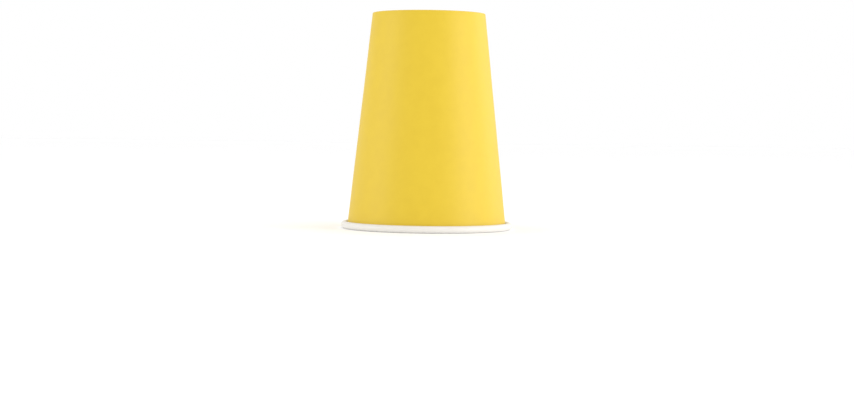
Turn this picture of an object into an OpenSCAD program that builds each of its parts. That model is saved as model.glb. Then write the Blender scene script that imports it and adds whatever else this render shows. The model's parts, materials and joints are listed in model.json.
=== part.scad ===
// Paper cup, drawn upside down and standing on its rolled rim.
// A wrapped cone of board has its wide edge rolled into the rim and its narrow edge turned in
// to make the foot. A flanged disc of board is sealed into that turned-in edge and closes the cup.
// Millimetres, +Z up. The origin is on the cup's axis, in the plane that the rim rests on.

/* [Cup] */
// Outside diameter over the rolled rim
rim_d = 77; // [64:0.5:95]
// Outside diameter of the wall where it reaches the foot
foot_d = 50.5; // [40:0.5:60]
// Height over all, from the crown of the rim to the foot
cup_h = 96.5; // [70:0.5:150]

/* [Board] */
// Thickness of the side wall's board
wall_t = 0.3; // [0.2:0.02:0.5]
// Thickness of the bottom disc's board
disc_t = 0.3; // [0.2:0.02:0.5]
// Room for the seal between board faces that are bonded together
seal_gap = 0.15; // [0.05:0.01:0.3]

/* [Rolled rim] */
// Diameter of the rolled bead, over the board
bead_d = 3.2; // [2.4:0.1:4.5]
// Room between the tucked end of the roll and the wall behind it
curl_gap = 0.4; // [0.1:0.05:0.5]
// How far the crown of the rim is pressed flat
press_flat = 0.03; // [0.01:0.005:0.06]

/* [Foot] */
// Inside radius of the two corners of the fold
fold_corner = 0.05; // [0.02:0.01:0.15]
// Depth of the bottom disc inside the foot
disc_recess = 7; // [4:0.5:14]
// Outside radius of the bend between the disc and its skirt
flange_r = 0.8; // [0.6:0.1:1.5]
// Room between the skirt's edge and the fold of the foot
skirt_gap = 0.6; // [0.3:0.1:1.5]
// Room between the wall's turned-in edge and the bend of the disc
hem_gap = 1; // [0.3:0.1:3]

/* [Side seam] */
// Direction of the seam's outer edge, in degrees around the cup from +X
seam_at = 120; // [0:5:355]
// Width of the overlap at the rim
seam_w = 7; // [4:0.5:12]
// Arc over which the outer layer comes down to the round, in degrees
seam_run = 8; // [4:1:20]

/* [Hidden] */
print_colour = "#EFCD4B";
board_colour = "#F6F3EA";
$fn = 120;

// Degrees between the stations around a bend, and steps in which the seam's outer layer comes down
bend_step = 20;
seam_steps = 4;

// Centre of the rolled bead in the cup's section
bead_r = bead_d / 2;
bead_x = rim_d / 2 - bead_r;
bead_z = bead_r - press_flat;

// Slope of the wall, whose outer face touches the inside of the roll and ends at the foot's edge
wall_rise = cup_h - bead_z;
wall_run = bead_x - foot_d / 2;
taper = acos((bead_r - wall_t) / norm([wall_run, wall_rise])) - atan2(wall_rise, wall_run);
outwards = [cos(taper), sin(taper)];
up_slope = [-sin(taper), cos(taper)];

// Outer radius of the wall at a height
function wall_r(z) = foot_d / 2 + (cup_h - z) * tan(taper);

// Point of the section at a height and a distance from the wall's outer face
function beside_wall(d, z) = [wall_r(z) + d / cos(taper), z];

// Point of the section that lies x outwards and y up the slope from the bead's centre
function on_slope(x, y) = [bead_x, bead_z] + x * outwards + y * up_slope;

// The y at which a line x outwards from the bead's centre reaches a height, and the point there
function up_to(x, z) = (z - bead_z - x * sin(taper)) / cos(taper);
function at_height(x, z) = on_slope(x, up_to(x, z));

// End of the roll, a smaller half turn that is tucked inside the bead
tuck_r = bead_r - wall_t - curl_gap;

// Half of the angle that the flat on the rim's crown takes out of the roll
crown = acos(1 - press_flat / bead_r);

// Fold of the foot around the skirt: two corners, with the flat that the cup stands on between them
pocket = disc_t + 2 * seal_gap;
corner_r = fold_corner + wall_t;
corner_z = cup_h - corner_r;
outer_corner_x = -bead_r - fold_corner;
inner_corner_x = -bead_r - pocket + fold_corner;
fold_y = up_to(-bead_r, corner_z);

// Bend of the bottom disc, skirt and turned-in edge
disc_z = cup_h - disc_recess;
flange_x = -bead_r - seal_gap - flange_r;
flange_z = disc_z - disc_t + flange_r;
flange_y = up_to(flange_x, flange_z);
skirt_end = fold_y - skirt_gap;
hem_end = flange_y + hem_gap;

// Sectors of the side seam: the lap itself, then the steps in which the outer layer comes down
lap_turn = 360 * seam_w / (2 * PI * wall_r(0));
lap_start = seam_at - lap_turn;
step_turn = seam_run / seam_steps;
lap_bottom = bead_z + bead_r;
lap_top = cup_h - 2 * corner_r;

// A station of a sheet's path is a point in the middle of the board and the way its outer face looks.
// Stations around a bend, whose outer face looks away from the centre (side 1) or towards it (side -1)
function bend(centre, r, from, to, side) =
    let (steps = ceil(abs(to - from) / bend_step))
    [for (i = [0:steps])
        let (a = from + (to - from) * i / steps, way = [cos(a), sin(a)])
        [centre + r * way, side * way]];

// Roll, wall, fold and turned-in edge of the side wall, from the tucked end of the roll
wall_path = concat(
    bend(on_slope(0, bead_r - tuck_r), tuck_r - wall_t / 2, 270 + taper, 90 + taper + bend_step, -1),
    bend([bead_x, bead_z], bead_r - wall_t / 2, 90 + taper, crown - 90, -1),
    bend([bead_x, bead_z], bead_r - wall_t / 2, -90 - crown, taper - 180, -1),
    bend(at_height(outer_corner_x, corner_z), corner_r - wall_t / 2, taper, 90, 1),
    bend(at_height(inner_corner_x, corner_z), corner_r - wall_t / 2, 90, 180 + taper, 1),
    [[on_slope(-bead_r - pocket - wall_t / 2, hem_end), -outwards]]
);

// Flat, bend and skirt of the bottom disc, from the cup's axis
disc_path = concat(
    [[[0, disc_z - disc_t / 2], [0, 1]]],
    bend(at_height(flange_x, flange_z), flange_r - disc_t / 2, -90, taper, -1),
    [[on_slope(flange_x + flange_r - disc_t / 2, skirt_end), -outwards]]
);

// Sheet of board of a thickness along a path, turned round the cup's axis
module turned_board(path, t) {
    outer_face = [for (s = path) s[0] + s[1] * t / 2];
    inner_face = [for (i = [len(path) - 1:-1:0]) path[i][0] - path[i][1] * t / 2];
    rotate_extrude() polygon(concat(outer_face, inner_face));
}

// Sector of the straight wall between two distances from its outer face
module wall_sector(inner, outer, start, turn) {
    rotate_extrude(angle = turn, start = start) polygon([
        beside_wall(inner, lap_bottom), beside_wall(outer, lap_bottom),
        beside_wall(outer, lap_top), beside_wall(inner, lap_top)
    ]);
}

// Start of each step in which the outer layer comes down, and its lift off the round there
function step_start(i) = lap_start - (i + 1) * step_turn;
function step_lift(i) = wall_t * (1 - (i + 0.5) / seam_steps);

// Outer layer of the seam: on the inner layer up to its free edge, and in steps down to the round
module seam_outside() {
    wall_sector(-wall_t / 2, wall_t, lap_start, lap_turn);
    for (i = [0:seam_steps - 1]) wall_sector(-wall_t / 2, step_lift(i), step_start(i), step_turn);
}

// Room beside the inner layer's edge, where the outer layer is still lifted off the round
module seam_inside() {
    for (i = [0:seam_steps - 1])
        wall_sector(-wall_t - seal_gap / 2, step_lift(i) - wall_t, step_start(i), step_turn);
}

module side_wall() {
    color(print_colour) difference() {
        union() {
            turned_board(wall_path, wall_t);
            seam_outside();
        }
        seam_inside();
    }
}

module bottom_disc() {
    color(board_colour) turned_board(disc_path, disc_t);
}

side_wall();
bottom_disc();
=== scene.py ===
import json
import math
import random

import bpy
from mathutils import Matrix, Vector


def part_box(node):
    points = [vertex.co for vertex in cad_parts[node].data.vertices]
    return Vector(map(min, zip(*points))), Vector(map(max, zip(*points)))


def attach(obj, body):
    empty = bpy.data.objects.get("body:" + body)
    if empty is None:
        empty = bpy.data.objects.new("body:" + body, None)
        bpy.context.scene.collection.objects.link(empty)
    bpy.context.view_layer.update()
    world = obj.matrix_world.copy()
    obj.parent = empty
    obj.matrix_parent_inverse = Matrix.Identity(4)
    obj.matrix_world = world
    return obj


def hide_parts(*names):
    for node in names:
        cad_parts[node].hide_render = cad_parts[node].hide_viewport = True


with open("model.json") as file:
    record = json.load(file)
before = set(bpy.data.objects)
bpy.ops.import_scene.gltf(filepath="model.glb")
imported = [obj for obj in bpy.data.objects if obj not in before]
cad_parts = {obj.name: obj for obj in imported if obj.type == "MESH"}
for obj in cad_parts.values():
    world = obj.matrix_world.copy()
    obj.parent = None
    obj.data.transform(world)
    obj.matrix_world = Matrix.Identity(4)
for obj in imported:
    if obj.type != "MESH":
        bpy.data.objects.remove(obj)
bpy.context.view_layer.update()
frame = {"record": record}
bpy.ops.object.select_all(action="DESELECT")

# Side wall: one fan-shaped blank of coated paperboard, printed yellow on its outside and wrapped into
# a cone that is lapped and sealed along one seam. Its wide edge is rolled outwards, which turns the
# white inside of the board out as the rim, and its narrow edge is folded in to make the foot.
mm = 0.001
board = 0.3 * mm
mounts = {mount["name"]: Vector(mount["pos_m"]) for mount in frame["record"]["mounts"]}
wall_low, wall_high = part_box("side_wall")
rim_radius, cup_height = wall_high.x, wall_high.z

# The section follows the middle of the board, where the radii of its bends are measured.
roll_centre = Vector((mounts["rim_rest"].x, 0, mounts["rim_bead"].z))
roll_bend = rim_radius - roll_centre.x - board / 2
tuck_bend = 0.75 * mm
corner_bend = 0.2 * mm
fold_width = 0.5 * mm
outer_corner = mounts["foot_ring"] + Vector((fold_width / 2, 0, -corner_bend - board / 2))
inner_corner = outer_corner - Vector((fold_width, 0, 0))
hem_length = 5.1 * mm
apart = roll_centre - outer_corner
taper = math.atan2(apart.x, -apart.z) - math.asin((roll_bend + corner_bend) / apart.length)
up_wall = Vector((-math.sin(taper), 0, math.cos(taper)))
tuck_centre = roll_centre + up_wall * (roll_bend - tuck_bend)
wall_length = (outer_corner - roll_centre).dot(up_wall)


def start_section(name, start):
    """Begins a section as a single vertex, left selected in edit mode."""
    bpy.ops.mesh.primitive_plane_add(size=board, location=start)
    piece = bpy.context.object
    piece.name = piece.data.name = name
    bpy.ops.object.transform_apply(location=True, rotation=True, scale=True)
    bpy.ops.object.mode_set(mode="EDIT")
    bpy.ops.mesh.merge(type="CENTER")
    return piece


def bend_on(centre, turn, steps):
    """Carries the section on around a bend, from +X towards +Z for a positive turn in degrees."""
    bpy.ops.mesh.spin(steps=steps, angle=math.radians(turn), center=centre, axis=(0, 1, 0))


def straight_on(run, steps):
    """Carries the section straight on in equal steps."""
    for _ in range(steps):
        bpy.ops.mesh.extrude_region_move(TRANSFORM_OT_translate={"value": run / steps})


tuck_steps, roll_steps, wall_steps, corner_steps, flat_steps, hem_steps = 10, 24, 24, 5, 2, 8
side_wall = start_section("side_wall_board", tuck_centre - up_wall * tuck_bend)
bend_on(tuck_centre, -180, tuck_steps)
bend_on(roll_centre, -270, roll_steps)
straight_on(up_wall * wall_length, wall_steps)
bend_on(outer_corner, 90 - math.degrees(taper), corner_steps)
straight_on(inner_corner - outer_corner, flat_steps)
bend_on(inner_corner, 90 + math.degrees(taper), corner_steps)
straight_on(-up_wall * hem_length, hem_steps)

# The blank is wrapped once round the cup and on over the lap, in columns of vertices a degree apart.
seam_azimuth = math.radians(120)
lap_width = 7 * mm
lap_columns = round(math.degrees(lap_width / (roll_centre.x - roll_bend)))
lap = math.radians(lap_columns)
wrap = 2 * math.pi + lap
columns = 360 + lap_columns
bpy.ops.mesh.select_all(action="SELECT")
bpy.ops.mesh.spin(steps=columns, angle=-wrap, center=(0, 0, 0), axis=(0, 0, 1))
bpy.ops.mesh.select_all(action="SELECT")
bpy.ops.mesh.flip_normals()
bpy.ops.object.mode_set(mode="OBJECT")
side_wall.rotation_euler.z = seam_azimuth - lap
bpy.ops.object.transform_apply(location=False, rotation=True, scale=False)

# The outer layer of the lap lies on the print of the inner one and comes down to the round beside it.
# A thin seal holds the two together.
lap_fall, seal = math.radians(9), 0.02 * mm
stations = len(side_wall.data.vertices) // (columns + 1)


def eased(share):
    """Eases from 0 to 1 as the share goes from 0 to 1."""
    share = min(max(share, 0), 1)
    return share * share * (3 - 2 * share)


outer_layer = side_wall.vertex_groups.new(name="outer_layer")
free_wall = side_wall.vertex_groups.new(name="free_wall")
for column in range(columns + 1):
    from_edge = wrap * (1 - column / columns)
    first = column * stations
    outer_layer.add(range(first, first + stations), eased(1 - (from_edge - lap) / lap_fall), "REPLACE")
    for row in range(wall_steps + 1):
        slack = math.sin(math.pi * row / wall_steps)
        free_wall.add([first + tuck_steps + roll_steps + row], slack, "REPLACE")


def apply_modifier(piece, kind, **settings):
    """Adds a modifier to a piece and applies it."""
    modifier = piece.modifiers.new(kind.lower(), kind)
    for name, value in settings.items():
        setattr(modifier, name, value)
    bpy.context.view_layer.objects.active = piece
    bpy.ops.object.modifier_apply(modifier=modifier.name)


apply_modifier(side_wall, "DISPLACE", strength=board + seal, mid_level=0, vertex_group="outer_layer")

# Between its two stiff ends the wall is never quite round.
slack_patch, slack_depth = 28 * mm, 0.25 * mm
wall_slack = bpy.data.textures.new("wall_slack", "CLOUDS")
wall_slack.noise_scale = slack_patch
wall_slack.noise_depth = 1
apply_modifier(
    side_wall, "DISPLACE", texture=wall_slack, texture_coords="LOCAL", strength=slack_depth,
    mid_level=0.5, vertex_group="free_wall"
)

# The turned-in edge is knurled: a roller presses a row of short upright grooves into it.
groove_pitch, groove_width = math.radians(4), math.radians(2)
groove_depth, groove_side, groove_margin = 0.09 * mm, 0.12 * mm, 0.6 * mm
groove_low = inner_corner.z - hem_length + groove_margin
groove_high = inner_corner.z - groove_margin


def select_where(piece, kind, chosen):
    """Selects the faces or the vertices of a piece that pass a test, and enters edit mode on them."""
    bpy.ops.object.select_all(action="DESELECT")
    bpy.context.view_layer.objects.active = piece
    piece.select_set(True)
    bpy.ops.object.mode_set(mode="EDIT")
    bpy.ops.mesh.select_mode(type=kind)
    bpy.ops.mesh.select_all(action="DESELECT")
    bpy.ops.object.mode_set(mode="OBJECT")
    for item in piece.data.polygons if kind == "FACE" else piece.data.vertices:
        item.select = chosen(item)
    bpy.ops.object.mode_set(mode="EDIT")


def in_groove(face):
    """Whether a face lies in one of the knurl's grooves, which leave out the stiff lap."""
    x, y, z = face.center
    azimuth = math.atan2(y, x)
    on_hem = math.hypot(x, y) < outer_corner.x and groove_low < z < groove_high
    on_lap = seam_azimuth - lap - groove_width < azimuth < seam_azimuth
    return on_hem and not on_lap and azimuth % groove_pitch < groove_width


select_where(side_wall, "FACE", in_groove)
bpy.ops.mesh.inset(thickness=groove_side, depth=-groove_depth)
bpy.ops.object.mode_set(mode="OBJECT")


class Tone:
    """An output of a shader node. Arithmetic on it adds Math nodes to its material."""

    def __init__(self, tree, socket=None):
        self.tree = tree
        self.socket = socket

    def node(self, kind, settings, inputs, output=0):
        """Adds a node with its settings, then the values or links of its sockets."""
        made = self.tree.nodes.new(kind)
        for name, value in settings.items():
            setattr(made, name, value)
        for name, value in inputs.items():
            if isinstance(value, Tone):
                self.tree.links.new(value.socket, made.inputs[name])
            else:
                made.inputs[name].default_value = value
        return Tone(self.tree, made.outputs[output] if made.outputs else None)

    def math(self, operation, first, second):
        """Adds a Math node on two tones, or on a tone and a number."""
        return self.node("ShaderNodeMath", {"operation": operation}, {0: first, 1: second})

    def __add__(self, other):
        return self.math("ADD", self, other)

    def __radd__(self, other):
        return self.math("ADD", other, self)

    def __mul__(self, other):
        return self.math("MULTIPLY", self, other)

    def __rmul__(self, other):
        return self.math("MULTIPLY", other, self)

    def blend(self, first, second):
        """Goes from one colour to another as this tone goes from 0 to 1."""
        settings = {"data_type": "RGBA", "clamp_factor": True}
        return self.node("ShaderNodeMix", settings, {0: self, 6: first, 7: second}, output=2)

    def eased(self, low, high):
        """Eases from 0 to 1 as this tone goes from low to high."""
        settings = {"interpolation_type": "SMOOTHSTEP"}
        inputs = {"Value": self, "From Min": low, "From Max": high}
        return self.node("ShaderNodeMapRange", settings, inputs)


def new_finish(name):
    """Starts a material and gives it with the place on the piece, which its patterns read."""
    finish = bpy.data.materials.new(name)
    finish.use_nodes = True
    finish.node_tree.nodes.clear()
    place = Tone(finish.node_tree).node("ShaderNodeTexCoord", {}, {}, output=3)
    return finish, place


def grain(place, size, detail=3.0):
    """Even noise whose patches are about this size."""
    inputs = {"Vector": place, "Scale": 1 / size, "Detail": detail, "Roughness": 0.55}
    return place.node("ShaderNodeTexNoise", {}, inputs)


def end_finish(place, colour, roughness, height, depth):
    """Closes a material with its surface shader; depth is the height of its relief."""
    relief = place.node("ShaderNodeBump", {}, {"Height": height, "Distance": depth, "Strength": 1.0})
    inputs = {"Base Color": colour, "Roughness": roughness, "Normal": relief}
    surface = place.node("ShaderNodeBsdfPrincipled", {}, inputs)
    place.node("ShaderNodeOutputMaterial", {}, {"Surface": surface})


def printed_finish():
    """Yellow print under a satin varnish, a little uneven in tone, and rubbed at the foot's fold."""
    deep, pale, rubbed = (0.672, 0.466, 0.015, 1), (0.692, 0.485, 0.018, 1), (0.75, 0.60, 0.2, 1)
    rubbed_band, rubbed_share = 0.5 * mm, 0.6
    finish, place = new_finish("yellow_print")
    mottle = grain(place, size=5 * mm, detail=4)
    fibre = grain(place, size=0.35 * mm)
    height_up = place.node("ShaderNodeSeparateXYZ", {}, {"Vector": place}, output=2)
    at_fold = height_up.eased(cup_height - rubbed_band, cup_height)
    wear = at_fold * fibre.eased(0.42, 0.68) * rubbed_share
    colour = wear.blend(mottle.eased(0.25, 0.75).blend(deep, pale), rubbed)
    roughness = 0.46 + 0.10 * mottle
    end_finish(place, colour, roughness, height=fibre + 1.5 * mottle, depth=0.02 * mm)
    return finish


def coated_finish(name, warm, clean):
    """White board under a thin clear coating, a little uneven in tone."""
    finish, place = new_finish(name)
    mottle = grain(place, size=4 * mm, detail=4)
    fibre = grain(place, size=0.3 * mm)
    colour = mottle.eased(0.25, 0.75).blend(warm, clean)
    roughness = 0.36 + 0.14 * mottle
    end_finish(place, colour, roughness, height=fibre + mottle, depth=0.018 * mm)
    return finish


def edge_finish():
    """Cut edge of the board: bare grey-white fibre."""
    dark, light = (0.58, 0.54, 0.46, 1), (0.75, 0.72, 0.65, 1)
    finish, place = new_finish("cut_edge")
    fibre = grain(place, size=0.12 * mm)
    colour = fibre.eased(0.3, 0.7).blend(dark, light)
    roughness = 0.85 + 0.1 * fibre
    end_finish(place, colour, roughness, height=fibre, depth=0.02 * mm)
    return finish


# The print is on the outside, the white on the inside, and the bare board shows at the cut edges.
# The wall's white is the board's white painted darker: painted shade, standing in for shade on the rim.
shaded_wall_white = coated_finish("shaded_wall_white", (0.737, 0.714, 0.674, 1), (0.757, 0.735, 0.696, 1))
cut_edge = edge_finish()
for finish in (printed_finish(), shaded_wall_white, cut_edge):
    side_wall.data.materials.append(finish)
apply_modifier(
    side_wall, "SOLIDIFY", thickness=board, offset=0, use_even_offset=True, material_offset=1,
    material_offset_rim=2
)


def below_rest(vertex):
    """Whether a vertex lies below the plane that the rim rests on."""
    return vertex.co.z < wall_low.z


# The crown of the rim is pressed flat where the cup rests on it.
select_where(side_wall, "VERT", below_rest)
bpy.ops.transform.resize(value=(1, 1, 0), center_override=(0, 0, wall_low.z))
bpy.ops.object.mode_set(mode="OBJECT")

# Bends are shaded smooth, and the cut edges stay sharp.
smooth_angle = math.radians(35)
bpy.ops.object.shade_smooth_by_angle(angle=smooth_angle)
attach(side_wall, "root")
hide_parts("side_wall")

# Bottom disc: a round blank of the same white board. Its edge is flanged into a skirt, which puckers at
# the bend, and the skirt is sealed between the wall and the wall's turned-in edge.
disc_low, disc_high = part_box("bottom_disc")
flange_bend = 0.65 * mm
flange_reach = flange_bend + board / 2
flange_centre = Vector((disc_high.x - flange_reach, 0, disc_low.z + flange_reach))
disc_middle = Vector((0, 0, disc_low.z + board / 2))
skirt_top = flange_centre.z + flange_bend * math.sin(taper)
skirt_length = (disc_high.z - skirt_top) / math.cos(taper)
disc_steps, flange_steps, skirt_steps, disc_columns = 20, 10, 8, 360
bottom_disc = start_section("bottom_disc_board", disc_middle)
straight_on(Vector((flange_centre.x, 0, 0)), disc_steps)
bend_on(flange_centre, 90 + math.degrees(taper), flange_steps)
straight_on(up_wall * skirt_length, skirt_steps)
bpy.ops.mesh.select_all(action="SELECT")
bpy.ops.mesh.spin(steps=disc_columns, angle=2 * math.pi, center=(0, 0, 0), axis=(0, 0, 1))
bpy.ops.mesh.select_all(action="SELECT")
bpy.ops.mesh.remove_doubles(threshold=0.001 * mm)
bpy.ops.mesh.normals_make_consistent(inside=False)
bpy.ops.object.mode_set(mode="OBJECT")

# The puckers are two columns of faces wide and stand at uneven distances around the bend.
random.seed(3)
pucker_depth, pucker_side, pucker_reach = 0.05 * mm, 0.08 * mm, 0.9 * mm
pucker_pitches = (4, 5, 6, 7)
puckered = set()
column = 0
while column < disc_columns:
    puckered.update((column, column + 1))
    column += random.choice(pucker_pitches)


def in_pucker(face):
    """Whether a face lies in one of the puckers of the disc's bend."""
    x, y, z = face.center
    on_bend = math.hypot(x, y) > flange_centre.x - pucker_reach and z < flange_centre.z
    share_round = math.degrees(math.atan2(y, x)) % 360 / 360
    return on_bend and int(share_round * disc_columns) in puckered


select_where(bottom_disc, "FACE", in_pucker)
bpy.ops.mesh.inset(thickness=pucker_side, depth=-pucker_depth)
bpy.ops.object.mode_set(mode="OBJECT")
# The disc's white is a lighter copy of the same board: painted light, making up for light from above
# that the room lacks.
lit_disc_white = coated_finish("lit_disc_white", (0.795, 0.776, 0.740, 1), (0.820, 0.803, 0.770, 1))
for finish in (lit_disc_white, cut_edge):
    bottom_disc.data.materials.append(finish)
apply_modifier(
    bottom_disc, "SOLIDIFY", thickness=board, offset=0, use_even_offset=True, material_offset_rim=1
)
bpy.ops.object.shade_smooth_by_angle(angle=smooth_angle)
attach(bottom_disc, "root")
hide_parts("bottom_disc")

# Floor: a wide sheet of white paper, on which the cup stands on its rim. It runs on far behind the cup,
# where it meets the white of the room.
sheet_size = 8
bpy.ops.object.select_all(action="DESELECT")
bpy.ops.mesh.primitive_plane_add(size=sheet_size)
floor = bpy.context.object
floor.name = "floor"
finish, place = new_finish("white_sheet")
fibre = grain(place, size=1 * mm)
end_finish(place, colour=(1, 1, 1, 1), roughness=0.8, height=fibre, depth=0.01 * mm)
floor.data.materials.append(finish)

# Light: a white room, with soft boxes that stand around the cup and face its middle. The two on its
# right are the stronger ones and give the wall its sheen there.
cup_middle = Vector((0, 0, cup_height / 2))
box_distance, box_height = 0.8, 0.15
box_width, box_length = 0.4, 0.6


def soft_box(name, bearing, power):
    """A soft box at a bearing around the cup, in degrees from the viewer's side towards the right."""
    angle = math.radians(bearing)
    lamp = bpy.data.lights.new(name, "AREA")
    lamp.shape = "RECTANGLE"
    lamp.size, lamp.size_y = box_width, box_length
    lamp.energy = power
    box = bpy.data.objects.new(name, lamp)
    box.location = (box_distance * math.sin(angle), -box_distance * math.cos(angle), box_height)
    box.rotation_euler = (cup_middle - box.location).to_track_quat("-Z", "Y").to_euler()
    bpy.context.scene.collection.objects.link(box)


soft_box("right_box", 65, 2.9)
soft_box("back_box", 115, 1.4)
soft_box("left_box", -75, 1.75)

world = bpy.data.worlds.new("white_room")
bpy.context.scene.world = world
world.use_nodes = True
world.node_tree.nodes.clear()
air = Tone(world.node_tree)
room = air.node("ShaderNodeBackground", {}, {"Color": (1, 1, 1, 1), "Strength": 1.0})
air.node("ShaderNodeOutputWorld", {}, {"Surface": room})
bpy.context.scene.view_settings.view_transform = "Standard"

# Camera: a long lens at about half the cup's height. It is tipped down a little, which puts the cup in
# the upper half of the picture, and turned by a trace.
lens, sensor = 72.57, 36
camera_place = Vector((0.00015, -0.775, 0.0459))
tip_down, turned = math.radians(2.61), math.radians(0.73)
camera = bpy.data.objects.new("camera", bpy.data.cameras.new("camera"))
camera.data.lens, camera.data.sensor_width = lens, sensor
camera.data.clip_start = 0.01
camera.matrix_world = (
    Matrix.Translation(camera_place)
    @ Matrix.Rotation(math.pi / 2 - tip_down, 4, "X")
    @ Matrix.Rotation(turned, 4, "Z")
)
bpy.context.scene.collection.objects.link(camera)
bpy.context.scene.camera = camera
